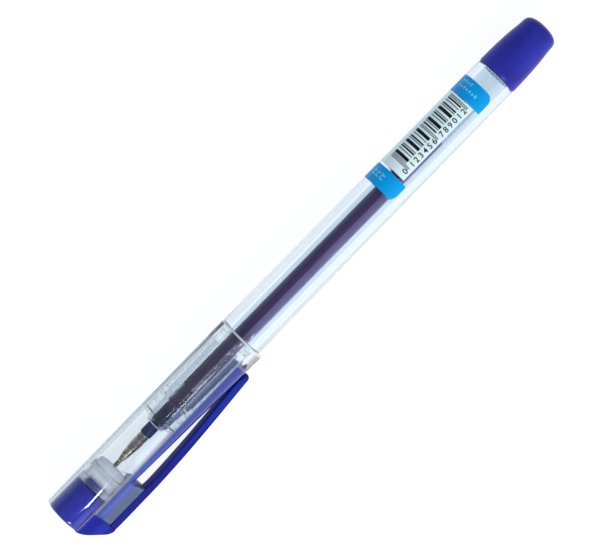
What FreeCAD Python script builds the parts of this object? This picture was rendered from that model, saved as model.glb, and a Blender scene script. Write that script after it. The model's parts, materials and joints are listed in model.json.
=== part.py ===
import FreeCAD, Part
import math
import os

# Capped gel pen, lying on its side, in millimetres.
# Every piece is built about the pen's own axis and is then laid down:
#   s runs along the axis from the crown of the cap to the rear of the end plug,
#   c runs from the axis out towards the clip, and y is across the clip.

# ---------------------------------------------------------------- driving dimensions
CAPPED_LENGTH = 150.75
LYING_ROLL = 26.3            # how far the clip dips below level as the pen lies, degrees

# barrel: clear, tapered, one moulding from nose to rear neck
BARREL_START = 55.75         # shoulder that the cap's lip closes against
BARREL_END = 135.25          # end of the visible wall, where the end plug starts
BARREL_STRAIGHT_END = 68.0   # plain cylinder up to here, then tapered to the rear
BARREL_R_FRONT = 5.34
BARREL_R_REAR = 5.08
BORE_R_FRONT = 2.95          # at the shoulder
BORE_R_REAR = 3.31           # at the rear
NECK_R = 4.2                 # spigot inside the end plug's skirt
NECK_END = 140.8
NOSE_START = 28.4
NOSE_R = 2.07
NOSE_HOLE_R = 1.5
NOSE_WALL = 0.65             # stops the refill's step from falling out
NOSE_SHOULDER = 29.9
GRIP_R = 4.3
GRIP_END = 53.9
LAND_R = 4.53                # plain ring that the cap's mouth slides over
GROOVE_COUNT = 12
GROOVE_FIRST = 30.8
GROOVE_PITCH = 2.05
GROOVE_WIDTH = 0.6
GROOVE_DEPTH = 0.22

# cap: clear tube with an eccentric taper, a moulded block under the clip's root
CAP_LIP = 55.65
CAP_R_CROWN = 5.28
CAP_R_LIP = 5.92
CAP_LIP_OFFSET = 0.47        # the lip's centre sits this far towards the clip
CAP_TAPER_START = 5.0
CAP_BORE_CROWN = 4.41
CAP_BORE_LIP = 4.62
CAP_LIP_CHAMFER = 0.3
CAP_END = 0.15
CAP_END_ROUND = 0.85

# crown: coloured moulding that plugs the cap and carries the clip
PLUG_R = 4.38
PLUG_END = 8.85
BOSS_R = 1.9
BOSS_END = 10.7
WEB_HALF_TOP = 1.8           # half the clip's width
WEB_HALF_BASE = 4.5          # the web's flanks flare to meet the tube
WEB_BASE_C = 2.75
WEB_TOP_C = 8.32
CLIP_OUTER_C = 10.17
WEB_END = 5.65
ROOT_PLATE_END = 17.0
FIT_GAP = 0.03

# block: hollow, open outwards, closed by the crown's root plate
BLOCK_START = 5.7
BLOCK_END = 17.0
BLOCK_TOP_C = 8.3
BLOCK_CHAMFER = 1.5
POCKET_START = 6.6
POCKET_END = 15.5
POCKET_HALF_TOP = 1.1
POCKET_HALF_BASE = 2.3
POCKET_BASE_C = 5.6

# clip arm
HINGE_S = 17.3
HINGE_C = 9.24
KNUCKLE_R = 0.84
KNUCKLE_GAP = 0.04
CLIP_TIP_S = 50.6
CLIP_TIP_HALF = 1.45

# refill
TUBE_START = 35.3
TUBE_END = 128.0
TUBE_R = 2.075
TUBE_BORE_R = 1.725
HOLDER_START = 25.5
HOLDER_R_FRONT = 1.45
HOLDER_R_REAR = 1.65
HOLDER_PLUG_R = 1.7
HOLDER_END = 39.5
INK_CHANNEL_R = 0.6
INK_R = 1.70
INK_END = 116.7
FOLLOWER_R = 1.68
FOLLOWER_END = 124.0
BALL_R = 0.35
BALL_S = 16.1
SOCKET_GAP = 0.03
TIP_R = 1.25
TIP_SHANK_R = 0.8

# end plug
STEM_START = 134.2
STEM_RIB_R = 3.24
STEM_CORE_R = 2.75
STEM_RIBS = 16
PLUG_SKIRT_R = 5.1

# label: printed film wrapped round the barrel
LABEL_START = 99.6
LABEL_END = 131.1
LABEL_FILM = 0.07
LABEL_GAP = 0.01
LABEL_FROM = -187.0          # degrees round the axis, 0 across the clip and 90 at the clip
LABEL_TO = 13.6

# tip seal: soft stopper in the crown end of the cap
SEAL_START = 9.3
SEAL_END = 15.7
SEAL_R = 4.3
SEAL_DIMPLE_R = 1.2


def vec(s, y, c):
    """A point in the pen's own coordinates: along, across, towards the clip."""
    return FreeCAD.Vector(s, y, c)


AXIS = vec(1, 0, 0)
ORIGIN = vec(0, 0, 0)


def lathe(outline, degrees=360.0):
    """Turn a closed outline of (s, r) points about the pen's axis.

    Three points in a tuple are an arc: the first continues from the point before.
    """
    edges = []
    here = outline[0]
    for item in outline[1:] + [outline[0]]:
        if len(item) == 3:
            through, end = item[1], item[2]
            arc = Part.Arc(vec(here[0], 0, here[1]), vec(through[0], 0, through[1]), vec(end[0], 0, end[1]))
            edges.append(arc.toShape())
            here = end
        else:
            if math.dist(here, item) > 1e-6:
                edges.append(Part.makeLine(vec(here[0], 0, here[1]), vec(item[0], 0, item[1])))
            here = item
    face = Part.Face(Part.Wire(edges))
    return face.revolve(ORIGIN, AXIS, degrees)


def quarter(start, centre, end):
    """Outline entry for a rounded corner between two points about a centre."""
    radius = math.dist(start, centre)
    middle = ((start[0] + end[0]) / 2 - centre[0], (start[1] + end[1]) / 2 - centre[1])
    size = math.hypot(middle[0], middle[1])
    through = (centre[0] + middle[0] / size * radius, centre[1] + middle[1] / size * radius)
    return ("arc", through, end)


def rod(start, end, radius):
    """Plain cylinder on the pen's axis."""
    return Part.makeCylinder(radius, end - start, vec(start, 0, 0), AXIS)


def prism(section, start, end):
    """Extrude a (y, c) section along the pen from start to end."""
    points = [vec(start, y, c) for y, c in section]
    face = Part.Face(Part.makePolygon(points + points[:1]))
    return face.extrude(vec(end - start, 0, 0))


def flank(half_base, base_c, half_top, top_c):
    """Symmetric trapezium section, wide at the tube and narrow at the clip."""
    return [(-half_base, base_c), (-half_top, top_c), (half_top, top_c), (half_base, base_c)]


def side_slab(wire, half_width):
    """Extrude an outline in the (s, c) plane to both sides of the middle."""
    slab = Part.Face(wire).extrude(vec(0, 2 * half_width, 0))
    slab.translate(vec(0, -half_width, 0))
    return slab


def spline(points):
    """Smooth edge through (s, c) points."""
    curve = Part.BSplineCurve()
    curve.interpolate([vec(s, 0, c) for s, c in points])
    return curve.toShape()


def barrel_radius(s):
    """Outside of the visible barrel wall at s."""
    share = max(0.0, (s - BARREL_STRAIGHT_END) / (BARREL_END - BARREL_STRAIGHT_END))
    return BARREL_R_FRONT + share * (BARREL_R_REAR - BARREL_R_FRONT)


def cap_axis_c(s):
    """Centre of the cap's outer taper at s."""
    return CAP_LIP_OFFSET * (s - CAP_TAPER_START) / (CAP_LIP - CAP_TAPER_START)


def cap_radius(s):
    """Radius of the cap's outer taper at s."""
    return CAP_R_CROWN + (CAP_R_LIP - CAP_R_CROWN) * (s - CAP_TAPER_START) / (CAP_LIP - CAP_TAPER_START)


# ---------------------------------------------------------------- pen
def make_barrel():
    """Clear tapered tube with a blunt nose, grooved grip and rear neck."""
    dome_centre = (NOSE_SHOULDER, GRIP_R - 1.2)
    body = lathe([
        (NOSE_START, NOSE_HOLE_R),
        (NOSE_START, NOSE_R - 0.2),
        quarter((NOSE_START, NOSE_R - 0.2), (NOSE_START + 0.2, NOSE_R - 0.2), (NOSE_START + 0.2, NOSE_R)),
        (NOSE_SHOULDER - 1.2, GRIP_R - 1.2),
        quarter((NOSE_SHOULDER - 1.2, GRIP_R - 1.2), dome_centre, (NOSE_SHOULDER, GRIP_R)),
        (GRIP_END, GRIP_R),
        (GRIP_END, LAND_R),
        (BARREL_START, LAND_R),
        (BARREL_START, BARREL_R_FRONT - 0.15),
        quarter((BARREL_START, BARREL_R_FRONT - 0.15), (BARREL_START + 0.15, BARREL_R_FRONT - 0.15),
                (BARREL_START + 0.15, BARREL_R_FRONT)),
        (BARREL_STRAIGHT_END, BARREL_R_FRONT),
        (BARREL_END - FIT_GAP, BARREL_R_REAR),
        (BARREL_END - FIT_GAP, NECK_R),
        (NECK_END, NECK_R),
        (NECK_END, BORE_R_REAR),
        (BARREL_END, BORE_R_REAR),
        (BARREL_START, BORE_R_FRONT),
        (36.5, 2.6),
        (34.0, 2.1),
        (30.0, HOLDER_R_REAR + 0.2),
        (NOSE_START + NOSE_WALL, HOLDER_R_REAR + 0.2),
        (NOSE_START + NOSE_WALL, NOSE_HOLE_R),
    ])
    for index in range(GROOVE_COUNT):
        start = GROOVE_FIRST + index * GROOVE_PITCH - GROOVE_WIDTH / 2
        ring = rod(start, start + GROOVE_WIDTH, GRIP_R + 1)
        body = body.cut(ring.cut(rod(start, start + GROOVE_WIDTH, GRIP_R - GROOVE_DEPTH)))
    return body


def make_end_plug():
    """Domed rear plug: a skirt over the barrel's neck and a ribbed stem in its bore."""
    skirt_bore = NECK_R + FIT_GAP
    floor_s = NECK_END + 0.1
    cup = lathe([
        (BARREL_END, skirt_bore),
        (BARREL_END, PLUG_SKIRT_R),
        (140.0, 5.02),
        ("arc", (144.0, 4.80), (147.7, 4.42)),
        (148.6, 4.40),
        ("arc", (149.9, 3.75), (150.5, 2.4)),
        (CAPPED_LENGTH, 0),
        (floor_s, 0),
        (floor_s, skirt_bore),
    ])
    stem = rod(STEM_START, floor_s + 0.2, STEM_RIB_R)
    notch_width = math.pi * STEM_RIB_R / STEM_RIBS
    for index in range(STEM_RIBS):
        notch = Part.makeBox(
            BARREL_END + 1 - STEM_START, notch_width, 1.0,
            vec(STEM_START - 0.5, -notch_width / 2, STEM_CORE_R))
        notch.rotate(ORIGIN, AXIS, index * 360.0 / STEM_RIBS)
        stem = stem.cut(notch)
    return cup.fuse(stem).removeSplitter()


def make_label():
    """Thin film wrapped part of the way round the rear of the barrel."""
    inner = [barrel_radius(s) + LABEL_GAP for s in (LABEL_START, LABEL_END)]
    film = lathe([
        (LABEL_START, inner[0]),
        (LABEL_START, inner[0] + LABEL_FILM),
        (LABEL_END, inner[1] + LABEL_FILM),
        (LABEL_END, inner[1]),
    ], LABEL_TO - LABEL_FROM)
    # the outline is drawn at 90 degrees round the axis and turns from y towards c
    film.rotate(ORIGIN, AXIS, LABEL_FROM - 90)
    return film


def make_refill_tube():
    """Plain plastic tube that holds the ink."""
    return rod(TUBE_START, TUBE_END, TUBE_R).cut(rod(TUBE_START, TUBE_END, TUBE_BORE_R))


def make_tip_holder():
    """Stepped adapter between the writing tip and the refill tube."""
    step = NOSE_START + NOSE_WALL + FIT_GAP
    return lathe([
        (HOLDER_START, TIP_SHANK_R + FIT_GAP),
        (HOLDER_START, HOLDER_R_FRONT),
        (step, HOLDER_R_FRONT),
        (step, HOLDER_R_REAR),
        (TUBE_START - 0.45, HOLDER_R_REAR),
        (TUBE_START - 0.3, TUBE_R - 0.05),
        (TUBE_START - FIT_GAP, TUBE_R - 0.05),
        (TUBE_START - FIT_GAP, HOLDER_PLUG_R),
        (HOLDER_END - 0.3, HOLDER_PLUG_R),
        (HOLDER_END, HOLDER_PLUG_R - 0.2),
        (HOLDER_END, INK_CHANNEL_R),
        (29.7, INK_CHANNEL_R),
        (29.7, TIP_SHANK_R + FIT_GAP),
    ])


def make_writing_tip():
    """Metal point: shank, cylinder, cone and thin neck with the ball's socket."""
    channel_r = 0.2
    rim_s = BALL_S - 0.12
    rim_gap_r = math.sqrt((BALL_R + SOCKET_GAP) ** 2 - 0.12 ** 2)
    body = lathe([
        (rim_s, 0),
        (rim_s, rim_gap_r + 0.07),
        (rim_s + 0.5, 0.5),
        (17.7, 0.52),
        ("arc", (19.4, 0.9), (21.9, 1.16)),
        (22.0, TIP_R),
        (HOLDER_START - FIT_GAP, TIP_R),
        (HOLDER_START - FIT_GAP, TIP_SHANK_R),
        (29.5, TIP_SHANK_R),
        (29.5, 0),
    ])
    socket = Part.makeSphere(BALL_R + SOCKET_GAP, vec(BALL_S, 0, 0))
    return body.cut(socket).cut(rod(BALL_S, 30.0, channel_r))


def make_point_ball():
    """Rolling ball of the point."""
    return Part.makeSphere(BALL_R, vec(BALL_S, 0, 0))


def make_ink():
    """Column of gel ink behind the tip holder."""
    return rod(HOLDER_END + FIT_GAP, INK_END, INK_R)


def make_ink_follower():
    """Clear grease plug that follows the ink down the tube."""
    return lathe([
        (INK_END + FIT_GAP, 0),
        (INK_END + FIT_GAP, FOLLOWER_R),
        (FOLLOWER_END, FOLLOWER_R),
        (FOLLOWER_END - 0.6, 0),
    ])


# ---------------------------------------------------------------- cap
def web_section(gap):
    """Section of the crown's web, grown sideways by a gap."""
    section = flank(WEB_HALF_BASE + gap, WEB_BASE_C - gap, WEB_HALF_TOP + gap, WEB_TOP_C)
    top = CLIP_OUTER_C + gap
    return section[:2] + [(-WEB_HALF_TOP - gap, top), (WEB_HALF_TOP + gap, top)] + section[2:]


def make_cap_tube():
    """Clear tube with the moulded block, notched at the crown for the web."""
    length = CAP_LIP + 2
    start = vec(0, 0, cap_axis_c(0))
    along = vec(CAP_LIP, 0, cap_axis_c(CAP_LIP)) - start
    taper = Part.makeCone(
        cap_radius(0), cap_radius(length), length, start, along)
    envelope = lathe([
        (CAP_END, 0),
        (CAP_END, CAP_R_CROWN - CAP_END_ROUND),
        quarter((CAP_END, CAP_R_CROWN - CAP_END_ROUND), (CAP_END + CAP_END_ROUND, CAP_R_CROWN - CAP_END_ROUND),
                (CAP_END + CAP_END_ROUND, CAP_R_CROWN)),
        (CAP_TAPER_START, CAP_R_CROWN + 0.05),
        (CAP_TAPER_START, 8.0),
        (CAP_LIP, 8.0),
        (CAP_LIP, 0),
    ])
    outer = taper.common(envelope)
    rim = [edge for edge in outer.Edges if abs(edge.BoundBox.XMin - CAP_LIP) < 1e-4
           and abs(edge.BoundBox.XMax - CAP_LIP) < 1e-4]
    outer = outer.makeChamfer(CAP_LIP_CHAMFER, rim)

    block = prism(flank(WEB_HALF_BASE, WEB_BASE_C, WEB_HALF_TOP, BLOCK_TOP_C), BLOCK_START, BLOCK_END)
    for side in (-1, 1):
        corner = Part.makePolygon([
            vec(BLOCK_END - BLOCK_CHAMFER, side * WEB_HALF_BASE, 0),
            vec(BLOCK_END + 1, side * WEB_HALF_BASE, 0),
            vec(BLOCK_END + 1, side * 0.9, 0),
            vec(BLOCK_END, side * 0.9, 0),
            vec(BLOCK_END - BLOCK_CHAMFER, side * WEB_HALF_BASE, 0)])
        block = block.cut(Part.Face(corner).extrude(vec(0, 0, 12)))
    pocket = prism(flank(POCKET_HALF_BASE, POCKET_BASE_C, POCKET_HALF_TOP, BLOCK_TOP_C + 1), POCKET_START, POCKET_END)
    bore = lathe([
        (-1, 0),
        (-1, CAP_BORE_CROWN),
        (BLOCK_END, CAP_BORE_CROWN + 0.02),
        (CAP_LIP - 0.3, CAP_BORE_LIP),
        (CAP_LIP + 0.1, CAP_BORE_LIP + 0.12),
        (CAP_LIP + 0.1, 0),
    ])
    notch = prism(web_section(FIT_GAP), -1, BLOCK_START)
    return outer.fuse(block).cut(pocket.cut(outer)).cut(bore).cut(notch).removeSplitter()


def crown_side_outline():
    """The crown seen from the side: domed end swept out to the clip's root plate."""
    dome = spline([(0.02, -0.2), (0.5, 2.9), (1.0, 4.3), (2.0, 6.3), (3.0, 8.05), (4.0, 9.2), (5.3, CLIP_OUTER_C)])
    return Part.Wire([
        dome,
        Part.makeLine(vec(5.3, 0, CLIP_OUTER_C), vec(WEB_END, 0, CLIP_OUTER_C)),
        Part.makeLine(vec(WEB_END, 0, CLIP_OUTER_C), vec(WEB_END, 0, -0.2)),
        Part.makeLine(vec(WEB_END, 0, -0.2), vec(0.02, 0, -0.2)),
    ])


def make_cap_crown():
    """Coloured crown: plug in the tube, boss for the seal, web and clip root plate."""
    plug = lathe([
        (0, 0),
        (0, PLUG_R - 0.9),
        quarter((0, PLUG_R - 0.9), (0.9, PLUG_R - 0.9), (0.9, PLUG_R)),
        (PLUG_END - 0.2, PLUG_R),
        (PLUG_END, PLUG_R - 0.2),
        (PLUG_END, BOSS_R),
        (BOSS_END, BOSS_R),
        (BOSS_END, 0),
    ])
    web = prism(web_section(0), 0, WEB_END).common(side_slab(crown_side_outline(), WEB_HALF_BASE))
    plate = Part.makeBox(
        ROOT_PLATE_END - WEB_END + 1, 2 * WEB_HALF_TOP, CLIP_OUTER_C - WEB_TOP_C,
        vec(WEB_END - 1, -WEB_HALF_TOP, WEB_TOP_C))
    knuckle_seat = Part.makeCylinder(
        KNUCKLE_R + KNUCKLE_GAP, 2 * WEB_HALF_TOP + 1, vec(HINGE_S, -WEB_HALF_TOP - 0.5, HINGE_C), vec(0, 1, 0))
    return plug.fuse([web, plate.cut(knuckle_seat)]).removeSplitter()


def make_clip_arm():
    """Springy arm from the knuckle at the root plate to the tip beside the cap's lip."""
    outer = spline([(HINGE_S, HINGE_C + KNUCKLE_R), (22, 9.98), (28, 9.68), (36, 9.13), (44, 8.46), (49.4, 8.0)])
    inner = spline([(49.2, 6.5), (47.5, 6.42), (44, 6.66), (40, 7.03), (36, 7.38), (30, 7.86), (22, 8.33),
                    (HINGE_S, HINGE_C - KNUCKLE_R)])
    tip = Part.Arc(vec(49.4, 0, 8.0), vec(CLIP_TIP_S, 0, 7.25), vec(49.2, 0, 6.5)).toShape()
    knuckle = Part.Arc(
        vec(HINGE_S, 0, HINGE_C - KNUCKLE_R), vec(HINGE_S - KNUCKLE_R, 0, HINGE_C),
        vec(HINGE_S, 0, HINGE_C + KNUCKLE_R)).toShape()
    arm = side_slab(Part.Wire([outer, tip, inner, knuckle]), WEB_HALF_TOP)
    plan = Part.makePolygon([
        vec(HINGE_S - 2, -WEB_HALF_TOP, 0),
        vec(HINGE_S + 3, -WEB_HALF_TOP, 0),
        vec(CLIP_TIP_S - 1, -CLIP_TIP_HALF, 0),
        vec(CLIP_TIP_S, -CLIP_TIP_HALF + 0.9, 0),
        vec(CLIP_TIP_S, CLIP_TIP_HALF - 0.9, 0),
        vec(CLIP_TIP_S - 1, CLIP_TIP_HALF, 0),
        vec(HINGE_S + 3, WEB_HALF_TOP, 0),
        vec(HINGE_S - 2, WEB_HALF_TOP, 0),
        vec(HINGE_S - 2, -WEB_HALF_TOP, 0)])
    return arm.common(Part.Face(plan).extrude(vec(0, 0, 15)))


def make_tip_seal():
    """Soft stopper: two sealing ribs, a pocket for the crown's boss, a dimple for the point."""
    return lathe([
        (SEAL_START, BOSS_R + FIT_GAP),
        (SEAL_START, SEAL_R - 0.1),
        (SEAL_START + 0.1, SEAL_R),
        (10.6, SEAL_R),
        (10.9, SEAL_R - 0.5),
        (12.6, SEAL_R - 0.5),
        (12.9, SEAL_R),
        (14.0, SEAL_R),
        (14.3, SEAL_R - 0.5),
        (SEAL_END - 0.4, SEAL_R - 0.6),
        (SEAL_END, SEAL_R - 1.0),
        (SEAL_END, SEAL_DIMPLE_R),
        (SEAL_END - 0.25, 0),
        (BOSS_END + FIT_GAP, 0),
        (BOSS_END + FIT_GAP, BOSS_R + FIT_GAP),
    ])


# ---------------------------------------------------------------- lay down and write
def axis_height():
    """Height of the pen's axis when the cap's lip rests on the floor."""
    return CAP_R_LIP + CAP_LIP_OFFSET * math.sin(math.radians(LYING_ROLL))


PIECES = {
    "barrel": make_barrel,
    "end_plug": make_end_plug,
    "label": make_label,
    "refill_tube": make_refill_tube,
    "tip_holder": make_tip_holder,
    "writing_tip": make_writing_tip,
    "point_ball": make_point_ball,
    "ink": make_ink,
    "ink_follower": make_ink_follower,
    "cap_tube": make_cap_tube,
    "cap_crown": make_cap_crown,
    "clip_arm": make_clip_arm,
    "tip_seal": make_tip_seal,
}


def main():
    os.makedirs("parts", exist_ok=True)
    shapes = {}
    for name, make in PIECES.items():
        shape = make()
        shape.rotate(ORIGIN, AXIS, 90 + LYING_ROLL)
        shapes[name] = shape
    boxes = [shape.optimalBoundingBox(True, False) for shape in shapes.values()]
    low_y = min(box.YMin for box in boxes)
    high_y = max(box.YMax for box in boxes)
    low_z = min(box.ZMin for box in boxes)
    shift = FreeCAD.Vector(-CAPPED_LENGTH / 2, -(low_y + high_y) / 2, -low_z)
    for name, shape in shapes.items():
        shape.translate(shift)
        shape.exportStep("parts/" + name + ".step")
        print(name, len(shape.Solids), "solid", round(shape.Volume, 2), "mm3 valid", shape.isValid())
    print("axis at y", round(shift.y, 4), "z", round(shift.z, 4), "expected z", round(axis_height(), 4))


main()
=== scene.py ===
import json
import math

import bmesh
import bpy
from mathutils import Matrix, Vector


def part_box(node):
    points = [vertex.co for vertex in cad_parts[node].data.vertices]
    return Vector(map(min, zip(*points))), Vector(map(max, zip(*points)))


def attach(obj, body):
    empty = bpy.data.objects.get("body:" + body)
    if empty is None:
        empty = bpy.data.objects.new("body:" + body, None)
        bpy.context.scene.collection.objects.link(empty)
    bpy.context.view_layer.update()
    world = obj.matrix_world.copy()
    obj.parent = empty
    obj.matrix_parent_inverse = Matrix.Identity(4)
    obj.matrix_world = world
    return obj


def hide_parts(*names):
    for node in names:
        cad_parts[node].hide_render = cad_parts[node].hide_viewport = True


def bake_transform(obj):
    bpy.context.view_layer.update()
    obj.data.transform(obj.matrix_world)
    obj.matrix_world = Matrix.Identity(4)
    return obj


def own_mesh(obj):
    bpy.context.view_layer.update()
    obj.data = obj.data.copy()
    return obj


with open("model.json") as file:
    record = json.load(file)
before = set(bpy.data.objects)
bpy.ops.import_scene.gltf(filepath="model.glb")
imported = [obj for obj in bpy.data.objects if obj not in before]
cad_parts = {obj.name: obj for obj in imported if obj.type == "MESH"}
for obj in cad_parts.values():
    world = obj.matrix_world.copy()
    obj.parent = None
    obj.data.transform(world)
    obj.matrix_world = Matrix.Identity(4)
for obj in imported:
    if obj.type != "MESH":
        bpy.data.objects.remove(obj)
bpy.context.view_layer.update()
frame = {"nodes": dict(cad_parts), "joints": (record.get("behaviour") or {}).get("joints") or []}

# ------------------------------------------------------------------ the pen's own coordinates
# s runs along the axis from the crown, c from the axis towards the clip, y across the clip.
# All lengths below are millimetres; place() turns them into the frame's metres.
MM = 0.001

ball_low, ball_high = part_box("point_ball")
AXIS_POINT = (ball_low + ball_high) / 2
CROWN_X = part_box("cap_crown")[0].x
CLIP_PIVOT = Vector(next(joint for joint in frame["joints"] if joint["name"] == "clip_flex")["pos_m"])
ALONG = Vector((1, 0, 0))
TOWARDS_CLIP = Vector((0, CLIP_PIVOT.y - AXIS_POINT.y, CLIP_PIVOT.z - AXIS_POINT.z)).normalized()
ACROSS_CLIP = TOWARDS_CLIP.cross(ALONG)
NEAR_SIDE = Vector((0, -1, 0))
BESIDE_CLIP = Vector((0, -0.97, 0.243)).normalized()      # just above the clip, on its own side
PEN_MATRIX = Matrix((
    (MM, 0, 0, CROWN_X),
    (0, ACROSS_CLIP.y * MM, TOWARDS_CLIP.y * MM, AXIS_POINT.y),
    (0, ACROSS_CLIP.z * MM, TOWARDS_CLIP.z * MM, AXIS_POINT.z),
    (0, 0, 0, 1),
))


def place(s, y=0.0, c=0.0):
    """Frame position of a point given in the pen's own coordinates."""
    return PEN_MATRIX @ Vector((s, y, c))


# ------------------------------------------------------------------ sizes, mm
SEGMENTS = 160               # round the large pieces
FINE_SEGMENTS = 96           # round the refill
CRISP_EDGE = 32.0            # degrees: sharper edges aren't shaded smooth
PEN_LENGTH = 150.75
FIT_GAP = 0.03               # between pieces that touch
LIP = 55.65                  # cap's mouth
SHOULDER = 55.75             # barrel's shoulder behind it
STRAIGHT_END = 68.0          # the barrel tapers behind this
BARREL_END = 135.25
NECK_R = 4.2                 # spigot inside the end plug's skirt
NECK_END = 140.8
LAND_START = 53.9            # plain ring that the cap's mouth slides over
LAND_R = 4.53
BARREL_R_FRONT = 5.34
BARREL_R_REAR = 5.08
BORE_FRONT = 2.95
BORE_REAR = 3.31
NOSE = 28.4
NOSE_HOLE_R = 1.5
NOSE_BORE_R = 1.85
GRIP_R = 4.3
GROOVES = 12
GROOVE_FIRST = 30.8
GROOVE_PITCH = 2.05
GROOVE_WIDTH = 0.6
GROOVE_SHOWN = 0.1           # shallower than in the CAD: the rings show only faintly

CAP_R_CROWN = 5.28
CAP_R_LIP = 5.92
CAP_LIP_OFFSET = 0.47
CAP_TAPER_START = 5.0
CAP_BORE = 4.41
CAP_BORE_LIP = 4.62
STRIP_END = 50.9             # the painted blue strip beside the clip stops here

CROWN_PLUG_R = 4.38
CROWN_PLUG_END = 8.85
BOSS_R = 1.9
BOSS_END = 10.7
WEB_HALF_TOP = 1.8
WEB_HALF_BASE = 4.5
WEB_BASE_C = 2.75
WEB_TOP_C = 8.32
CLIP_OUTER_C = 10.17
BLOCK_START = 5.7
BLOCK_END = 17.0
BLOCK_TOP_C = 8.3
CLIP_TIP = 50.6
CLIP_TIP_ROUND_START = 49.4
CLIP_TIP_MIDDLE_C = 7.3

SEAL_R = 4.3
SEAL_RELIEF_R = 3.8

TUBE_START = 35.3
TUBE_END = 128.0
TUBE_R = 2.075
TUBE_BORE = 1.725
INK_START = 39.53
INK_END = 116.7
FOLLOWER_R = 1.69

SKIRT_R = 5.1                # end plug
SKIRT_BORE = 4.23
STEM_START = 134.9
STEM_R = 2.75
STEM_RIB_R = 3.24
STEM_RIBS = 16

VIEW_ROLL = 22.0             # the label's middle lies this far round from straight across the clip
LABEL_R = 5.15
LABEL_START = 99.6
LABEL_END = 131.1
LABEL_FAR_EDGE = -14.6       # measured round the barrel from the label's middle
FRONT_BAND_END = 104.1
PANEL_START = 104.7
PANEL_END = 126.2
REAR_BAND_START = 126.4
BAR_WIDTH = 0.196            # narrowest bar of the pattern
DIGIT_SIZE = 1.85
DIGIT_PITCH = 1.38
DIGIT_GROUP_PITCH = 9.1      # from one group of six to the next
DIGIT_BASELINE = 0.95
FILM = (0.015, 0.05)         # lift off the barrel and thickness: the coloured film
PRINT = (0.066, 0.006)       # the same for the print on top of it


def barrel_radius(s):
    """Outer radius of the barrel's tapered wall."""
    share = max(0.0, (s - STRAIGHT_END) / (BARREL_END - STRAIGHT_END))
    return BARREL_R_FRONT + share * (BARREL_R_REAR - BARREL_R_FRONT)


def cap_offset(s):
    """How far the cap's centre has moved towards the clip."""
    return CAP_LIP_OFFSET * max(0.0, (s - CAP_TAPER_START) / (LIP - CAP_TAPER_START))


# ------------------------------------------------------------------ mesh helpers
def rounded(corners, steps=6):
    """Outline through (s, r) corners; a third number is the fillet radius at that corner."""
    points = []
    for index, corner in enumerate(corners):
        here = Vector(corner[:2])
        if len(corner) == 2:
            points.append(here)
            continue
        back = (Vector(corners[index - 1][:2]) - here).normalized()
        ahead = (Vector(corners[(index + 1) % len(corners)][:2]) - here).normalized()
        half = back.angle(ahead) / 2
        radius = corner[2]
        centre = here + (back + ahead).normalized() * radius / math.sin(half)
        first = here + back * radius / math.tan(half) - centre
        last = here + ahead * radius / math.tan(half) - centre
        turn = first.angle_signed(last)
        for step in range(steps + 1):
            angle = -turn * step / steps
            cos, sin = math.cos(angle), math.sin(angle)
            points.append(centre + Vector((first.x * cos - first.y * sin, first.x * sin + first.y * cos)))
    return points


def curve_points(controls, steps):
    """Smooth open curve through 2-D control points (Catmull-Rom)."""
    pts = [Vector(p) for p in controls]
    pts = [2 * pts[0] - pts[1]] + pts + [2 * pts[-1] - pts[-2]]
    spans = len(pts) - 3
    out = []
    for step in range(steps + 1):
        reached = min(step / steps * spans, spans - 1e-9)
        k = int(reached)
        t = reached - k
        a, b, c, d = pts[k:k + 4]
        out.append(0.5 * ((2 * b) + (c - a) * t + (2 * a - 5 * b + 4 * c - d) * t * t
                          + (3 * b - a - 3 * c + d) * t ** 3))
    return out


def lathe(outline, closed=False, offset=None, segments=SEGMENTS):
    """bmesh of revolution about the pen's axis, in pen millimetres."""
    bm = bmesh.new()
    rings = []
    for s, r in outline:
        shift = offset(s) if offset else 0.0
        if r < 1e-6:
            rings.append([bm.verts.new((s, 0, shift))])
            continue
        ring = []
        for k in range(segments):
            angle = 2 * math.pi * k / segments
            ring.append(bm.verts.new((s, r * math.cos(angle), shift + r * math.sin(angle))))
        rings.append(ring)
    pairs = list(zip(rings, rings[1:]))
    if closed:
        pairs.append((rings[-1], rings[0]))
    for one, two in pairs:
        for k in range(segments):
            n = (k + 1) % segments
            corners = [one[k % len(one)], one[n % len(one)], two[n % len(two)], two[k % len(two)]]
            corners = list(dict.fromkeys(corners))
            if len(corners) > 2:
                bm.faces.new(corners)
    bmesh.ops.recalc_face_normals(bm, faces=bm.faces)
    return bm


def loft(sections):
    """Closed bmesh through equal-count sections of (s, y, c) points."""
    bm = bmesh.new()
    rings = [[bm.verts.new(p) for p in section] for section in sections]
    count = len(rings[0])
    for one, two in zip(rings, rings[1:]):
        for k in range(count):
            n = (k + 1) % count
            bm.faces.new((one[k], one[n], two[n], two[k]))
    bm.faces.new(rings[0])
    bm.faces.new(rings[-1])
    bmesh.ops.recalc_face_normals(bm, faces=bm.faces)
    return bm


def trapezium(half_base, base_c, half_top, top_c):
    """Four-sided (y, c) section, symmetrical about the clip."""
    return [(-half_base, base_c), (-half_top, top_c), (half_top, top_c), (half_base, base_c)]


def prism(section, start, end):
    """Straight bmesh prism of a (y, c) section between two places along the pen."""
    return loft([[(s, y, c) for y, c in section] for s in (start, end)])


def shade(bm):
    """Smooth faces, with sharper edges kept crisp."""
    for face in bm.faces:
        face.smooth = True
    for edge in bm.edges:
        angle = edge.calc_face_angle(None)
        edge.smooth = angle is not None and math.degrees(angle) < CRISP_EDGE


def to_mesh(bm, name):
    """Mesh datablock from a bmesh, which is freed."""
    mesh = bpy.data.meshes.new(name)
    bm.to_mesh(mesh)
    bm.free()
    return mesh


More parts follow.
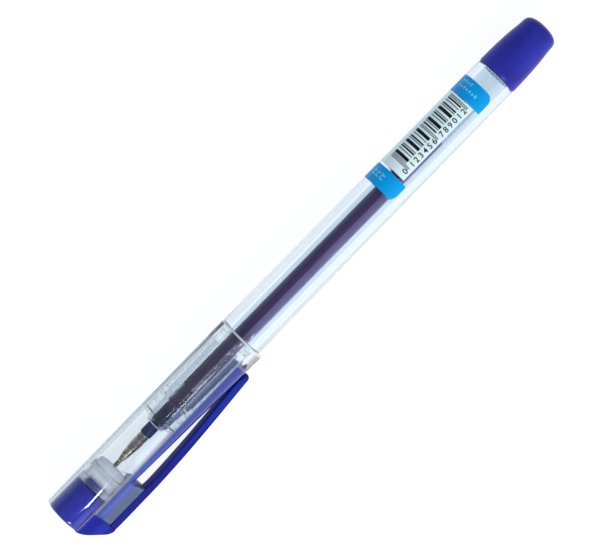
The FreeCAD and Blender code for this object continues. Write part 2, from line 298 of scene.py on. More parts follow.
def boolean(base, tool, operation):
    """base with the exact boolean of tool applied; both are bmeshes in pen millimetres."""
    objects = []
    for label, bm in (("boolean_base", base), ("boolean_tool", tool)):
        item = bpy.data.objects.new(label, to_mesh(bm, label))
        bpy.context.scene.collection.objects.link(item)
        objects.append(item)
    body, cutter = objects
    modifier = body.modifiers.new("boolean", "BOOLEAN")
    modifier.solver = "EXACT"
    modifier.operation = operation
    modifier.object = cutter
    graph = bpy.context.evaluated_depsgraph_get()
    result = bmesh.new()
    result.from_mesh(bpy.data.meshes.new_from_object(body.evaluated_get(graph)))
    for item in objects:
        bpy.data.objects.remove(item)
    bmesh.ops.remove_doubles(result, verts=result.verts, dist=1e-5)
    return result


def add_piece(name, bm, material, body=None, replaces=()):
    """Links a bmesh in pen millimetres as a piece in the frame."""
    shade(bm)
    bm.transform(PEN_MATRIX)
    piece = bpy.data.objects.new(name, to_mesh(bm, name))
    bpy.context.scene.collection.objects.link(piece)
    piece.data.materials.append(material)
    if body:
        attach(piece, body)
    if replaces:
        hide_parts(*replaces)
    return piece


# ------------------------------------------------------------------ materials
def new_material(name):
    """Material with nodes, its Principled shader and its object-space coordinates."""
    material = bpy.data.materials.new(name)
    material.use_nodes = True
    tree = material.node_tree
    shader = tree.nodes["Principled BSDF"]
    coords = tree.nodes.new("ShaderNodeTexCoord")
    return material, tree, shader, coords.outputs["Object"]


def noise(tree, vector, scale, detail, stretch=(1, 1, 1)):
    """Noise value; stretch squeezes the pattern along the frame's axes."""
    mapping = tree.nodes.new("ShaderNodeMapping")
    mapping.inputs["Scale"].default_value = stretch
    tree.links.new(vector, mapping.inputs["Vector"])
    node = tree.nodes.new("ShaderNodeTexNoise")
    node.inputs["Scale"].default_value = scale
    node.inputs["Detail"].default_value = detail
    tree.links.new(mapping.outputs["Vector"], node.inputs["Vector"])
    return node.outputs["Fac"]


def ramp(tree, value, low, high, start=0.35, end=0.65):
    """Colour between two colours as a value rises."""
    node = tree.nodes.new("ShaderNodeValToRGB")
    stops = node.color_ramp.elements
    stops[0].position, stops[1].position = start, end
    stops[0].color, stops[1].color = (*low, 1), (*high, 1)
    tree.links.new(value, node.inputs["Fac"])
    return node.outputs["Color"]


def span(tree, value, low, high):
    """Value mapped from 0..1 to low..high."""
    node = tree.nodes.new("ShaderNodeMapRange")
    node.inputs["To Min"].default_value = low
    node.inputs["To Max"].default_value = high
    tree.links.new(value, node.inputs["Value"])
    return node.outputs["Result"]


def bump(tree, shader, height, strength, distance_mm):
    """Feeds a height to the shader's normal."""
    node = tree.nodes.new("ShaderNodeBump")
    node.inputs["Strength"].default_value = strength
    node.inputs["Distance"].default_value = distance_mm * MM
    tree.links.new(height, node.inputs["Height"])
    tree.links.new(node.outputs["Normal"], shader.inputs["Normal"])


def beyond(tree, coords, direction, reach, blur):
    """1 where a point lies further than reach (mm) from the pen's origin along a direction, else 0."""
    offset = tree.nodes.new("ShaderNodeVectorMath")
    offset.operation = "SUBTRACT"
    offset.inputs[1].default_value = place(0)
    tree.links.new(coords, offset.inputs[0])
    dot = tree.nodes.new("ShaderNodeVectorMath")
    dot.operation = "DOT_PRODUCT"
    dot.inputs[1].default_value = direction
    tree.links.new(offset.outputs["Vector"], dot.inputs[0])
    node = tree.nodes.new("ShaderNodeMapRange")
    node.interpolation_type = "SMOOTHSTEP"
    node.inputs["From Min"].default_value = (reach - blur) * MM
    node.inputs["From Max"].default_value = (reach + blur) * MM
    tree.links.new(dot.outputs["Value"], node.inputs["Value"])
    return node.outputs["Result"]


def blend_values(tree, share, one, two, kind):
    """one where share is 0 and two where it is 1; each is a socket or a plain value."""
    mix = tree.nodes.new("ShaderNodeMix")
    mix.data_type = kind
    tree.links.new(share, mix.inputs["Factor"])
    for name, value in (("A", one), ("B", two)):
        socket = [s for s in mix.inputs if s.name == name and s.enabled][0]
        if isinstance(value, bpy.types.NodeSocket):
            tree.links.new(value, socket)
        else:
            socket.default_value = value
    return [s for s in mix.outputs if s.enabled][0]


def vary(material, direction, reach, blur, **changes):
    """Blends shader inputs to new values beyond a reach along a direction; names use _ for spaces."""
    tree = material.node_tree
    shader = tree.nodes["Principled BSDF"]
    coords = next(n for n in tree.nodes if n.type == "TEX_COORD").outputs["Object"]
    share = beyond(tree, coords, direction, reach, blur)
    for name, value in changes.items():
        socket = shader.inputs[name.replace("_", " ")]
        source = socket.links[0].from_socket if socket.links else socket.default_value
        kind = "RGBA" if socket.type == "RGBA" else "FLOAT"
        tree.links.new(blend_values(tree, share, source, value, kind), socket)


def clear_plastic(name, low, high, ior, rough_low, rough_high, clarity, wave_mm=0.002):
    """Polished clear moulding: faint flow lines along the pen, an uneven polish and a little haze."""
    material, tree, shader, coords = new_material(name)
    flow = noise(tree, coords, 260, 2.0, (0.25, 1, 1))
    tree.links.new(ramp(tree, flow, low, high), shader.inputs["Base Color"])
    tree.links.new(span(tree, flow, rough_low, rough_high), shader.inputs["Roughness"])
    shader.inputs["Transmission Weight"].default_value = clarity
    shader.inputs["IOR"].default_value = ior
    bump(tree, shader, noise(tree, coords, 190, 1.0, (0.15, 1, 1)), 0.2, wave_mm)
    return material


def blue_plastic(name, low, high, rough_low, rough_high, specular=0.3):
    """Glossy coloured moulding: cloudy pigment and a faint orange-peel skin."""
    material, tree, shader, coords = new_material(name)
    cloud = noise(tree, coords, 210, 4.0, (0.5, 1, 1))
    tree.links.new(ramp(tree, cloud, low, high, 0.3, 0.7), shader.inputs["Base Color"])
    skin = noise(tree, coords, 900, 3.0)
    tree.links.new(span(tree, skin, rough_low, rough_high), shader.inputs["Roughness"])
    shader.inputs["IOR"].default_value = 1.5
    shader.inputs["Specular IOR Level"].default_value = specular
    bump(tree, shader, noise(tree, coords, 1500, 2.0), 0.15, 0.02)
    return material


def seal_material():
    """Milky elastomer: cloudy, with a faintly uneven skin."""
    material, tree, shader, coords = new_material("milky_elastomer")
    cloud = noise(tree, coords, 500, 4.0)
    colour = ramp(tree, cloud, (0.82, 0.89, 0.97), (0.96, 0.98, 1.0), 0.38, 0.6)
    tree.links.new(colour, shader.inputs["Base Color"])
    tree.links.new(span(tree, cloud, 0.3, 0.5), shader.inputs["Roughness"])
    shader.inputs["Transmission Weight"].default_value = 0.9
    shader.inputs["IOR"].default_value = 1.41
    bump(tree, shader, noise(tree, coords, 900, 3.0), 0.4, 0.05)
    return material


def metal_material(name, low, high, rough):
    """Turned metal: fine tool lines round the point."""
    material, tree, shader, coords = new_material(name)
    lines = noise(tree, coords, 900, 2.0, (6, 0.2, 0.2))
    tree.links.new(ramp(tree, lines, low, high), shader.inputs["Base Color"])
    tree.links.new(span(tree, lines, rough, rough + 0.12), shader.inputs["Roughness"])
    shader.inputs["Metallic"].default_value = 1.0
    bump(tree, shader, lines, 0.3, 0.01)
    return material


def ink_material(name, low, high):
    """Wet gel ink against the tube: streaky and faintly glossy."""
    material, tree, shader, coords = new_material(name)
    streaks = noise(tree, coords, 420, 4.0, (0.12, 1, 1))
    tree.links.new(ramp(tree, streaks, low, high, 0.3, 0.7), shader.inputs["Base Color"])
    tree.links.new(span(tree, streaks, 0.25, 0.4), shader.inputs["Roughness"])
    bump(tree, shader, streaks, 0.1, 0.02)
    return material


def print_material(name, low, high):
    """Printed film: ink with a slight mottle under a satin coat."""
    material, tree, shader, coords = new_material(name)
    mottle = noise(tree, coords, 1600, 3.0)
    tree.links.new(ramp(tree, mottle, low, high), shader.inputs["Base Color"])
    tree.links.new(span(tree, mottle, 0.35, 0.45), shader.inputs["Roughness"])
    shader.inputs["Specular IOR Level"].default_value = 0.15
    bump(tree, shader, mottle, 0.1, 0.005)
    return material


BARREL_CLEAR = clear_plastic("clear_polystyrene", (0.72, 0.82, 0.9), (0.76, 0.85, 0.92), 1.52, 0.01, 0.03,
                             1.0, 0.001)
CAP_CLEAR = clear_plastic("clear_cap_plastic", (0.87, 0.915, 0.95), (0.9, 0.94, 0.965), 1.45, 0.02, 0.05,
                          1.0)
TUBE_CLEAR = clear_plastic("refill_polypropylene", (0.9, 0.91, 0.94), (0.94, 0.95, 0.97), 1.49, 0.04, 0.07,
                           1.0, 0.0005)
GREASE = clear_plastic("follower_grease", (0.86, 0.86, 0.8), (0.92, 0.92, 0.88), 1.45, 0.08, 0.2, 0.9)
CROWN_BLUE = blue_plastic("crown_blue", (0.028, 0.04, 0.5), (0.05, 0.048, 0.64), 0.2, 0.3, 0.02)
PLUG_VIOLET = blue_plastic("plug_violet", (0.026, 0.022, 0.3), (0.028, 0.04, 0.4), 0.3, 0.4, 0.12)
SEAL_MILKY = seal_material()
POINT_METAL = metal_material("nickel_silver", (0.28, 0.24, 0.16), (0.6, 0.56, 0.46), 0.22)
BALL_METAL = metal_material("carbide", (0.35, 0.35, 0.36), (0.5, 0.5, 0.52), 0.1)
HOLDER_NAVY = blue_plastic("holder_navy", (0.008, 0.015, 0.08), (0.014, 0.034, 0.17), 0.2, 0.3)
INK_VIOLET = ink_material("gel_ink", (0.13, 0.02, 0.24), (0.17, 0.03, 0.3))
PRINT_CYAN = print_material("print_cyan", (0.0, 0.33, 0.78), (0.0, 0.36, 0.84))
PRINT_PALE = print_material("print_pale", (0.74, 0.94, 0.96), (0.8, 0.97, 0.98))
PRINT_BLACK = print_material("print_black", (0.004, 0.004, 0.006), (0.012, 0.012, 0.015))
PRINT_LIGHT = print_material("print_light_cyan", (0.12, 0.6, 0.9), (0.2, 0.68, 0.95))

# painted reflection: the cap's wall is painted with the clip's blue on that side, most of all in a strip
# beside the clip
vary(CAP_CLEAR, TOWARDS_CLIP, 3.4, 1.8, Base_Color=(0.8, 0.87, 0.97, 1.0))
vary(CAP_CLEAR, BESIDE_CLIP, 5.05, 0.3, Base_Color=(0.02, 0.05, 0.38, 1.0), Transmission_Weight=0.4)
# painted light along its far edge: pale and part opaque, where the rim shows light
vary(CAP_CLEAR, -NEAR_SIDE, 4.92, 0.15, Base_Color=(0.76, 0.88, 1.0, 1.0), Transmission_Weight=0.5)
# the block under the clip's root is frosted, and painted dark blue for the clip's blue and the shade seen
# through it
vary(CAP_CLEAR, TOWARDS_CLIP, 5.65, 0.3, Base_Color=(0.11, 0.17, 0.34, 1.0), Roughness=0.22,
     Transmission_Weight=0.5)
# the mouth is clear again, up to a milky lip
vary(CAP_CLEAR, ALONG, STRIP_END, 0.5, Base_Color=(0.88, 0.92, 0.95, 1.0), Transmission_Weight=1.0)
vary(CAP_CLEAR, ALONG, LIP - 0.45, 0.1, Base_Color=(0.86, 0.92, 0.96, 1.0), Transmission_Weight=0.45)
# painted light and shade: the crown is painted a deeper blue where no clear wall covers it, and the clip's
# faces get their own blues for how the light falls on each
vary(CROWN_BLUE, TOWARDS_CLIP, 2.8, 1.6, Base_Color=(0.015, 0.02, 0.25, 1.0))
vary(CROWN_BLUE, TOWARDS_CLIP, 6.3, 0.6, Base_Color=(0.018, 0.032, 0.32, 1.0))
vary(CROWN_BLUE, TOWARDS_CLIP, 8.45, 0.15, Base_Color=(0.015, 0.02, 0.23, 1.0))
# the holder's rear end takes the ink's colour
vary(HOLDER_NAVY, ALONG, 33.6, 0.6, Base_Color=(0.12, 0.025, 0.24, 1.0))
# the grip reads clearer than the barrel behind it
vary(BARREL_CLEAR, -ALONG, -54.5, 0.5, Base_Color=(0.9, 0.95, 0.98, 1.0))
# painted highlight: the barrel's nose is painted whiter, rougher and less clear, for a bright rim
vary(BARREL_CLEAR, -ALONG, -28.7, 0.06, Base_Color=(0.95, 0.97, 1.0, 1.0), Roughness=0.4,
     Transmission_Weight=0.35)
# painted light: the ink is lighter along its near side, where the key light falls
vary(INK_VIOLET, NEAR_SIDE, 0.45, 0.2, Base_Color=(0.6, 0.37, 0.74, 1.0))
# painted light: the plug's stem is painted pale where it shows through the barrel
vary(PLUG_VIOLET, -ALONG, -BARREL_END, 0.05, Base_Color=(0.88, 0.96, 1.0, 1.0), Transmission_Weight=0.05)


# ------------------------------------------------------------------ pen
def make_barrel():
    """Clear barrel: nose, grooved grip, land, tapered wall and rear neck."""
    outline = [(NOSE, NOSE_HOLE_R, 0.1), (NOSE, 2.07, 0.2), (28.7, 2.2, 0.3), (29.9, GRIP_R, 0.9)]
    for index in range(GROOVES):
        middle = GROOVE_FIRST + index * GROOVE_PITCH
        for step in range(-4, 5):
            depth = GROOVE_SHOWN * (1 + math.cos(math.pi * step / 4)) / 2
            outline.append((middle + GROOVE_WIDTH * step / 8, GRIP_R - depth))
    wall_end = BARREL_END - FIT_GAP
    outline += [
        (LAND_START, GRIP_R, 0.05), (LAND_START, LAND_R, 0.1), (SHOULDER, LAND_R, 0.05),
        (SHOULDER, BARREL_R_FRONT, 0.18), (STRAIGHT_END, BARREL_R_FRONT), (wall_end, BARREL_R_REAR, 0.15),
        (wall_end, NECK_R, 0.05), (NECK_END, NECK_R, 0.1), (NECK_END, BORE_REAR, 0.1),
        (BARREL_END, BORE_REAR), (SHOULDER, BORE_FRONT), (36.5, 2.6, 0.8), (34.0, 2.1, 0.8),
        (30.0, NOSE_BORE_R, 0.5), (29.05, NOSE_BORE_R, 0.1), (29.05, NOSE_HOLE_R, 0.05),
    ]
    bm = lathe(rounded(outline, 4), closed=True)
    add_piece("barrel_shell", bm, BARREL_CLEAR, "pen", ["barrel"])


def make_end_plug():
    """Domed rear plug with a softened skirt edge and a ribbed stem in the bore."""
    side = curve_points([(136.0, SKIRT_R), (140.0, 5.03), (144.0, 4.80), (147.2, 4.45), (148.6, 4.38)], 24)
    dome = curve_points([(148.6, 4.38), (149.5, 4.1), (150.2, 3.3), (150.6, 1.9), (PEN_LENGTH, 0.0)], 20)
    outline = rounded([
        (140.9, 0.0), (140.9, SKIRT_BORE), (BARREL_END, SKIRT_BORE, 0.05), (BARREL_END, SKIRT_R, 0.15)], 4)
    outline += side + dome[1:]
    stem = lathe(rounded([(STEM_START, 0.0), (STEM_START, STEM_R, 0.15), (141.2, STEM_R), (141.2, 0.0)], 4))
    bm = boolean(lathe(outline), stem, "UNION")
    add_piece("end_plug_body", bm, PLUG_VIOLET, "pen", ["end_plug"])
    ribs = bmesh.new()
    section = trapezium(0.28, STEM_R - 0.05, 0.22, STEM_RIB_R)
    for index in range(STEM_RIBS):
        rib = prism(section, STEM_START + 0.1, 136.2)
        bmesh.ops.bevel(rib, geom=rib.edges[:], offset=0.06, segments=2, affect="EDGES")
        rib.transform(Matrix.Rotation(2 * math.pi * index / STEM_RIBS, 4, "X"))
        mesh = to_mesh(rib, "rib")
        ribs.from_mesh(mesh)
        bpy.data.meshes.remove(mesh)
    add_piece("end_plug_ribs", ribs, PLUG_VIOLET, "pen")


def make_refill():
    """Ink tube, ink column wetting its wall, grease follower, tip holder and metal point."""
    wall = rounded([
        (TUBE_START, TUBE_BORE, 0.05), (TUBE_START, TUBE_R, 0.12),
        (TUBE_END, TUBE_R, 0.12), (TUBE_END, TUBE_BORE, 0.05)], 4)
    add_piece("refill_tube_wall", lathe(wall, closed=True, segments=FINE_SEGMENTS), TUBE_CLEAR,
              "pen", ["refill_tube"])
    # the ink wets the wall, so its skin lies just inside the plastic and no air shows between
    wet_r = TUBE_BORE + 0.03
    ink = lathe(rounded([(INK_START, 0.0), (INK_START, wet_r, 0.1), (INK_END, wet_r, 0.4), (INK_END, 0.0)], 5),
                segments=FINE_SEGMENTS)
    ink_piece = add_piece("ink_column", ink, INK_VIOLET, "pen", ["ink"])
    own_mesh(ink_piece)
    grease_start = INK_END + 0.04
    follower = lathe(rounded([
        (grease_start, 0.0), (grease_start, FOLLOWER_R, 0.2), (124.0, FOLLOWER_R, 0.1), (123.4, 0.0)], 5),
        segments=FINE_SEGMENTS)
    add_piece("grease_follower", follower, GREASE, "follower", ["ink_follower"])

    holder = lathe(rounded([
        (25.5, 0.83, 0.03), (25.5, 1.45, 0.12), (28.2, 1.45, 0.03), (28.3, 1.48, 0.02), (29.08, 1.48, 0.02),
        (29.08, 1.65, 0.05), (34.8, 1.65, 0.1), (35.0, 2.02, 0.05), (35.27, 2.02, 0.05), (35.27, 1.7, 0.02),
        (39.5, 1.7, 0.2), (39.5, 0.6, 0.05), (29.7, 0.6), (29.7, 0.83)], 4), closed=True,
        segments=FINE_SEGMENTS)
    add_piece("tip_holder_body", holder, HOLDER_NAVY, "pen", ["tip_holder"])

    cone = curve_points([(17.7, 0.52), (18.3, 0.7), (19.6, 0.93), (21.9, 1.16)], 12)
    tip = [(16.1, 0.2), (15.98, 0.36), (15.98, 0.43), (16.45, 0.5)]
    tip += cone
    tip += [(22.0, 1.25), (23.9, 1.25), (23.95, 1.18), (24.15, 1.18), (24.2, 1.25), (25.35, 1.25),
            (25.47, 1.15), (25.47, 0.8), (29.5, 0.8), (29.5, 0.2)]
    add_piece("writing_tip_metal", lathe(tip, closed=True, segments=FINE_SEGMENTS), POINT_METAL,
              "pen", ["writing_tip"])
    ball = frame["nodes"]["point_ball"]
    ball.data.materials.clear()
    ball.data.materials.append(BALL_METAL)


# ------------------------------------------------------------------ label
def decal(name, faces, layer, material, step=0.3):
    """Flat shapes wrapped round the barrel as thin closed film.

    faces hold (s, t) points: t runs round the barrel from the middle of the label, towards the clip.
    layer holds the lift off the barrel and the thickness.
    """
    lift, thickness = layer
    bm = bmesh.new()
    for face in faces:
        bm.faces.new([bm.verts.new((s, t, 0)) for s, t in face])
    lows = min(v.co.y for v in bm.verts)
    highs = max(v.co.y for v in bm.verts)
    cuts = int((highs - lows) / step)
    for index in range(1, cuts + 1):
        geometry = bm.verts[:] + bm.edges[:] + bm.faces[:]
        bmesh.ops.bisect_plane(bm, geom=geometry, plane_co=(0, lows + index * step, 0), plane_no=(0, 1, 0))
    bmesh.ops.remove_doubles(bm, verts=bm.verts, dist=1e-4)
    bmesh.ops.recalc_face_normals(bm, faces=bm.faces)
    for vert in bm.verts:
        angle = vert.co.y / LABEL_R - math.radians(VIEW_ROLL)
        radius = barrel_radius(vert.co.x) + lift
        vert.co = Vector((vert.co.x, radius * math.cos(angle), radius * math.sin(angle)))
    for face in bm.faces:
        face.normal_update()
        outward = Vector((0, face.calc_center_median().y, face.calc_center_median().z))
        if face.normal.dot(outward) < 0:
            face.normal_flip()
    bmesh.ops.solidify(bm, geom=bm.faces[:], thickness=-thickness)
    bmesh.ops.recalc_face_normals(bm, faces=bm.faces)
    return add_piece(name, bm, material, "pen")


def rectangle(s0, s1, t0, t1):
    """Corners of a rectangle on the unrolled barrel."""
    return [(s0, t0), (s1, t0), (s1, t1), (s0, t1)]


def bar_faces(start, module, top, bottom, guard_bottom):
    """Generic bar pattern: guard pairs at both ends and the middle, uneven bars between."""
    faces = []
    for first in (0, 46, 93):
        for pair in (0, 2):
            left = start + (first + pair) * module
            faces.append(rectangle(left, left + module, top, guard_bottom))
    for block in (4, 51):
        position, count = 0, block
        while position < 40:
            width = 1 + (3 * count + count * count // 2) % 4
            gap = 1 + (5 * count + 1) % 3
            width = min(width, 41 - position)
            left = start + (block + position) * module
            faces.append(rectangle(left, left + width * module, top, bottom))
            position += width + gap
            count += 1
    return faces


def glyph_faces(text, size, left, baseline):
    """Flat faces of built-in lettering, reading along the pen, its top away from the clip."""
    curve = bpy.data.curves.new("digits", "FONT")
    curve.body = text
    curve.size = size
    curve.resolution_u = 3
    curve.offset = 0.035
    holder = bpy.data.objects.new("digits", curve)
    bpy.context.scene.collection.objects.link(holder)
    graph = bpy.context.evaluated_depsgraph_get()
    mesh = bpy.data.meshes.new_from_object(holder.evaluated_get(graph))
    faces = []
    for polygon in mesh.polygons:
        corners = [mesh.vertices[i].co for i in polygon.vertices]
        faces.append([(left + corner.x, baseline - corner.y) for corner in corners])
    bpy.data.objects.remove(holder)
    bpy.data.curves.remove(curve)
    bpy.data.meshes.remove(mesh)
    return faces


def make_label():
    """Printed film: two cyan bands, a pale panel, generic bars and digits, abstract marks."""
    front = rounded([
        (LABEL_START, LABEL_FAR_EDGE), (FRONT_BAND_END, LABEL_FAR_EDGE), (FRONT_BAND_END, 2.98, 0.4),
        (101.0, 2.98, 1.0), (LABEL_START, 2.3, 0.4)], 5)
    rear = rounded([
        (REAR_BAND_START, LABEL_FAR_EDGE), (LABEL_END, LABEL_FAR_EDGE), (LABEL_END, 3.3, 2.0),
        (REAR_BAND_START, 3.3, 0.2)], 8)
    band = decal("label_band_front", [front], FILM, PRINT_CYAN)
    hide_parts("label")
    decal("label_band_rear", [rear], FILM, PRINT_CYAN)
    decal("label_panel", [rectangle(PANEL_START, PANEL_END, LABEL_FAR_EDGE, 1.5)], FILM, PRINT_PALE)
    decal("label_bars", bar_faces(106.9, BAR_WIDTH, -5.1, -0.7, 0.6), PRINT, PRINT_BLACK)
    digits = []
    for index, digit in enumerate("0123456789012"):
        if index == 0:
            left = 105.9
        else:
            group = (index - 1) // 6
            left = 108.1 + ((index - 1) % 6) * DIGIT_PITCH + group * DIGIT_GROUP_PITCH
        digits += glyph_faces(digit, DIGIT_SIZE, left, DIGIT_BASELINE)
    decal("label_digits", digits, PRINT, PRINT_BLACK, 0.2)
    marks = []
    for index in range(3):
        top = -5.6 + index * 1.35
        marks.append(rectangle(101.3, 102.9, top, top + 0.32))
        marks.append(rectangle(101.3, 101.65, top + 0.4, top + 0.95))
        marks.append(rectangle(102.3, 102.65, top + 0.4, top + 0.95))
    for row, (left, count) in enumerate(((128.2, 7), (129.6, 4))):
        for index in range(count):
            top = -5.4 + index * 0.85
            marks.append(rectangle(left, left + 0.75 - 0.2 * ((index + row) % 2), top, top + 0.45))
    decal("label_marks", marks, PRINT, PRINT_LIGHT)


# ------------------------------------------------------------------ cap
def make_cap_tube():
    """Clear cap: eccentric taper, moulded hollow block under the clip's root, notch for the web."""
    outer = lathe(rounded([
        (0.15, 0.0), (0.15, CAP_R_CROWN, 0.85), (CAP_TAPER_START, CAP_R_CROWN),
        (LIP, CAP_R_LIP, 0.25), (LIP, 0.0)], 7), offset=cap_offset)
    block = prism(trapezium(WEB_HALF_BASE, WEB_BASE_C, WEB_HALF_TOP, BLOCK_TOP_C), BLOCK_START, BLOCK_END)
    for side in (-1, 1):
        corner = loft([
            [(15.5, side * WEB_HALF_BASE, c), (18.0, side * WEB_HALF_BASE, c), (18.0, side * 0.9, c),
             (BLOCK_END, side * 0.9, c)] for c in (0.0, 12.0)])
        block = boolean(block, corner, "DIFFERENCE")
    bmesh.ops.bevel(block, geom=[e for e in block.edges if e.calc_length() > 2.0], offset=0.12, segments=3,
                    affect="EDGES")
    pocket = prism(trapezium(2.3, 5.6, 1.1, 9.3), 6.6, 15.5)
    bmesh.ops.bevel(pocket, geom=pocket.edges[:], offset=0.2, segments=3, affect="EDGES")
    shell = boolean(outer, block, "UNION")
    shell = boolean(shell, pocket, "DIFFERENCE")
    bore = lathe(rounded([
        (-1.0, 0.0), (-1.0, CAP_BORE), (BLOCK_END, CAP_BORE + 0.02), (LIP - 0.35, CAP_BORE_LIP),
        (LIP + 0.15, CAP_BORE_LIP + 0.2), (LIP + 0.15, 0.0)]))
    shell = boolean(shell, bore, "DIFFERENCE")
    notch = trapezium(WEB_HALF_BASE + FIT_GAP, WEB_BASE_C - FIT_GAP, WEB_HALF_TOP + FIT_GAP, 10.5)
    shell = boolean(shell, prism(notch, -1.0, BLOCK_START), "DIFFERENCE")
    add_piece("cap_tube_shell", shell, CAP_CLEAR, "cap", ["cap_tube"])


def rounded_section(s, half_top, half_base, low, high, radius=0.35):
    """Rounded four-sided section across the clip at s."""
    corners = [(y, c, radius) for y, c in trapezium(half_base, low, half_top, high)]
    return [(s, p.x, p.y) for p in rounded(corners, 4)]


def make_crown_and_clip():
    """Crown, web, root plate and clip arm: one moulding, as on the real pen."""
    ribs = []
    for index in range(6):
        start = 6.7 + index * 0.36
        ribs += [(start, CROWN_PLUG_R), (start + 0.06, 4.3), (start + 0.14, 4.3), (start + 0.2, CROWN_PLUG_R)]
    plug = lathe(rounded([
        (0.0, 0.0), (0.0, CROWN_PLUG_R, 0.8), *ribs, (CROWN_PLUG_END, CROWN_PLUG_R, 0.15),
        (CROWN_PLUG_END, BOSS_R, 0.1), (BOSS_END, BOSS_R, 0.25), (BOSS_END, 0.0)], 6))

    edge = curve_points([(0.02, 2.6), (0.3, 3.75), (0.55, 4.55), (1.0, 5.55), (2.0, 7.2), (3.0, 8.6),
                         (4.0, 9.6), (5.1, 10.14), (5.7, CLIP_OUTER_C)], 36)
    sections = []
    for s, high in edge[2:]:
        taper = (high - WEB_BASE_C) / (WEB_TOP_C - WEB_BASE_C)
        half = WEB_HALF_BASE + (WEB_HALF_TOP - WEB_HALF_BASE) * min(max(taper, 0.0), 1.0)
        base = min(2.0, high - 0.8)
        radius = min(0.35, (high - base) * 0.3)
        sections.append(rounded_section(s, half, min(4.3, WEB_HALF_BASE), base, high, radius))
    crown = boolean(plug, loft(sections), "UNION")

    outer = curve_points([(4.9, 10.12), (8.0, CLIP_OUTER_C), (14.0, 10.12), (20.0, 10.03), (28.0, 9.68),
                          (36.0, 9.13), (44.0, 8.46), (CLIP_TIP_ROUND_START, 7.98)], 70)
    inner = curve_points([(4.9, WEB_TOP_C), (8.0, WEB_TOP_C), (16.4, WEB_TOP_C + 0.02), (20.0, 8.4),
                          (30.0, 7.86), (36.0, 7.38), (40.0, 7.03), (44.0, 6.66), (47.5, 6.42),
                          (CLIP_TIP_ROUND_START, 6.55)], 200)
    sections = []
    for s, high in outer:
        low = min(inner, key=lambda p: abs(p.x - s)).y
        share = max(0.0, (s - 20.0) / (CLIP_TIP - 20.0))
        half = WEB_HALF_TOP - 0.35 * share
        sections.append(rounded_section(s, half, half, low, high))
    for step in range(1, 7):
        angle = math.pi / 2 * step / 6
        s = CLIP_TIP_ROUND_START + (CLIP_TIP - CLIP_TIP_ROUND_START) * math.sin(angle)
        close = math.cos(angle)
        thick = 0.72 * max(close, 0.18)
        half = 1.46 * max(close, 0.3) ** 0.5
        sections.append(rounded_section(s, half, half, CLIP_TIP_MIDDLE_C - thick, CLIP_TIP_MIDDLE_C + thick,
                                        min(0.35, thick * 0.8)))
    crown = boolean(crown, loft(sections), "UNION")
    piece = add_piece("crown_and_clip", crown, CROWN_BLUE, None, ["cap_crown", "clip_arm"])
    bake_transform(piece)


def make_tip_seal():
    """Soft stopper with sealing ribs, a pocket for the boss and a dimple for the point."""
    bm = lathe(rounded([
        (9.3, BOSS_R + FIT_GAP, 0.05), (9.3, SEAL_R, 0.15), (10.6, SEAL_R, 0.15),
        (10.9, SEAL_RELIEF_R, 0.15), (12.6, SEAL_RELIEF_R, 0.15), (12.9, SEAL_R, 0.15), (14.0, SEAL_R, 0.15),
        (14.3, SEAL_RELIEF_R, 0.15), (15.7, 3.6, 0.4), (15.7, 1.2, 0.15), (15.45, 0.0),
        (BOSS_END + FIT_GAP, 0.0), (BOSS_END + FIT_GAP, BOSS_R + FIT_GAP, 0.05)], 4))
    add_piece("tip_seal_body", bm, SEAL_MILKY, "cap", ["tip_seal"])


# ------------------------------------------------------------------ stage, light, camera
NEAR_LIGHT = (0.95, 0.96, 0.98)
FAR_LIGHT = (0.66, 0.74, 0.88)
CEILING_LIGHT = (0.26, 0.27, 0.3)
LAMPS = (                    # name, width and height (m), watts, place (m)
    ("key_softbox", 0.12, 0.12, 3.6, (-0.34, -0.44, 0.5)),
    ("narrow_strip", 0.008, 0.08, 0.35, (-0.1625, -0.5, 0.54)),
)
CAMERA_TILT = math.radians(4.3)       # off straight down
PICTURE_RISE = math.radians(45.63)    # the pen's slope in the picture
LENS = 144.0                  # mm
CAMERA_DISTANCE = 0.5262      # m
PICTURE_CENTRE = 74.34        # mm along the pen
PICTURE_SHIFT = -0.00025      # m: slides the picture across the pen
FLOOR_SIZE = 4.0              # m
FLOOR_GAP = 0.00005           # m below the pen
FLOOR_GLOW = 0.89


def make_stage():
    """Pale floor, just under the pen."""
    bpy.ops.mesh.primitive_plane_add(size=FLOOR_SIZE, location=(0, 0, -FLOOR_GAP))
    floor = bpy.context.object
    floor.name = "floor"
    material, tree, shader, coords = new_material("pale_floor")
    tree.links.new(ramp(tree, noise(tree, coords, 6, 2.0), (0.29, 0.29, 0.29), (0.31, 0.31, 0.31)),
                   shader.inputs["Base Color"])
    shader.inputs["Roughness"].default_value = 0.9
    shader.inputs["Emission Color"].default_value = (1, 1, 1, 1)
    shader.inputs["Emission Strength"].default_value = FLOOR_GLOW
    floor.data.materials.append(material)


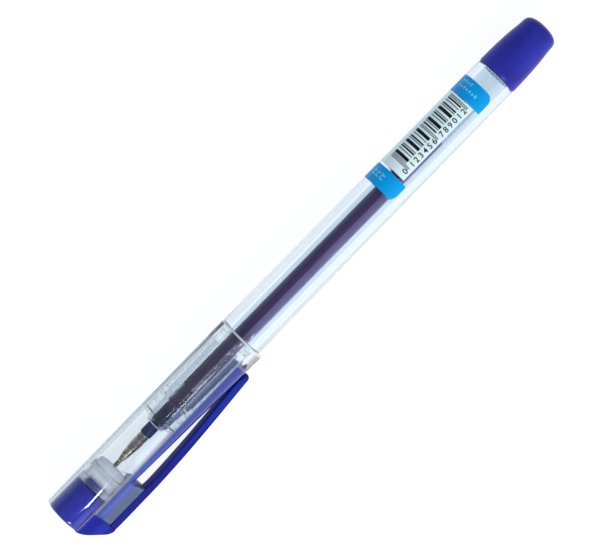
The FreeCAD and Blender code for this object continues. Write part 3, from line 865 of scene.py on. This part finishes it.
def make_light():
    """Studio surround: white walls, cooler on the far side, under a darker ceiling, and two lamps."""
    world = bpy.data.worlds.new("studio")
    bpy.context.scene.world = world
    world.use_nodes = True
    tree = world.node_tree
    background = tree.nodes["Background"]
    coords = tree.nodes.new("ShaderNodeTexCoord")
    parts = tree.nodes.new("ShaderNodeSeparateXYZ")
    tree.links.new(coords.outputs["Generated"], parts.inputs["Vector"])
    far = tree.nodes.new("ShaderNodeMapRange")
    far.inputs["From Min"].default_value = -0.4
    far.inputs["From Max"].default_value = 0.4
    tree.links.new(parts.outputs["Y"], far.inputs["Value"])
    walls = blend_values(tree, far.outputs["Result"], (*NEAR_LIGHT, 1), (*FAR_LIGHT, 1), "RGBA")
    overhead = span(tree, parts.outputs["Z"], -1.8, 3.2)
    colour = blend_values(tree, overhead, walls, (*CEILING_LIGHT, 1), "RGBA")
    tree.links.new(colour, background.inputs["Color"])

    for name, width, height, power, location in LAMPS:
        light = bpy.data.lights.new(name, "AREA")
        light.shape = "RECTANGLE"
        light.size = width
        light.size_y = height
        light.energy = power
        lamp = bpy.data.objects.new(name, light)
        bpy.context.scene.collection.objects.link(lamp)
        lamp.location = location
        lamp.rotation_euler = (-lamp.location).to_track_quat("-Z", "Y").to_euler()


def make_camera():
    """Long lens, nearly straight down, the pen rising to the right."""
    back = Vector((0, -math.sin(CAMERA_TILT), math.cos(CAMERA_TILT)))
    across = Vector((0, -math.cos(CAMERA_TILT), -math.sin(CAMERA_TILT)))
    right = math.cos(PICTURE_RISE) * ALONG + math.sin(PICTURE_RISE) * across
    up = math.sin(PICTURE_RISE) * ALONG - math.cos(PICTURE_RISE) * across
    data = bpy.data.cameras.new("camera")
    data.lens = LENS
    data.clip_start = 0.01
    camera = bpy.data.objects.new("camera", data)
    bpy.context.scene.collection.objects.link(camera)
    target = place(PICTURE_CENTRE) + across * PICTURE_SHIFT
    position = target + back * CAMERA_DISTANCE
    camera.matrix_world = Matrix((
        (right.x, up.x, back.x, position.x),
        (right.y, up.y, back.y, position.y),
        (right.z, up.z, back.z, position.z),
        (0, 0, 0, 1)))
    bpy.context.scene.camera = camera


def set_look():
    """Plain display and enough bounces for the nested clear walls."""
    scene = bpy.context.scene
    scene.view_settings.view_transform = "Standard"
    scene.cycles.max_bounces = 32
    scene.cycles.transmission_bounces = 32
    scene.cycles.glossy_bounces = 6


make_camera()
make_light()
make_stage()
set_look()
make_barrel()
make_end_plug()
make_refill()
make_label()
make_cap_tube()
make_crown_and_clip()
make_tip_seal()
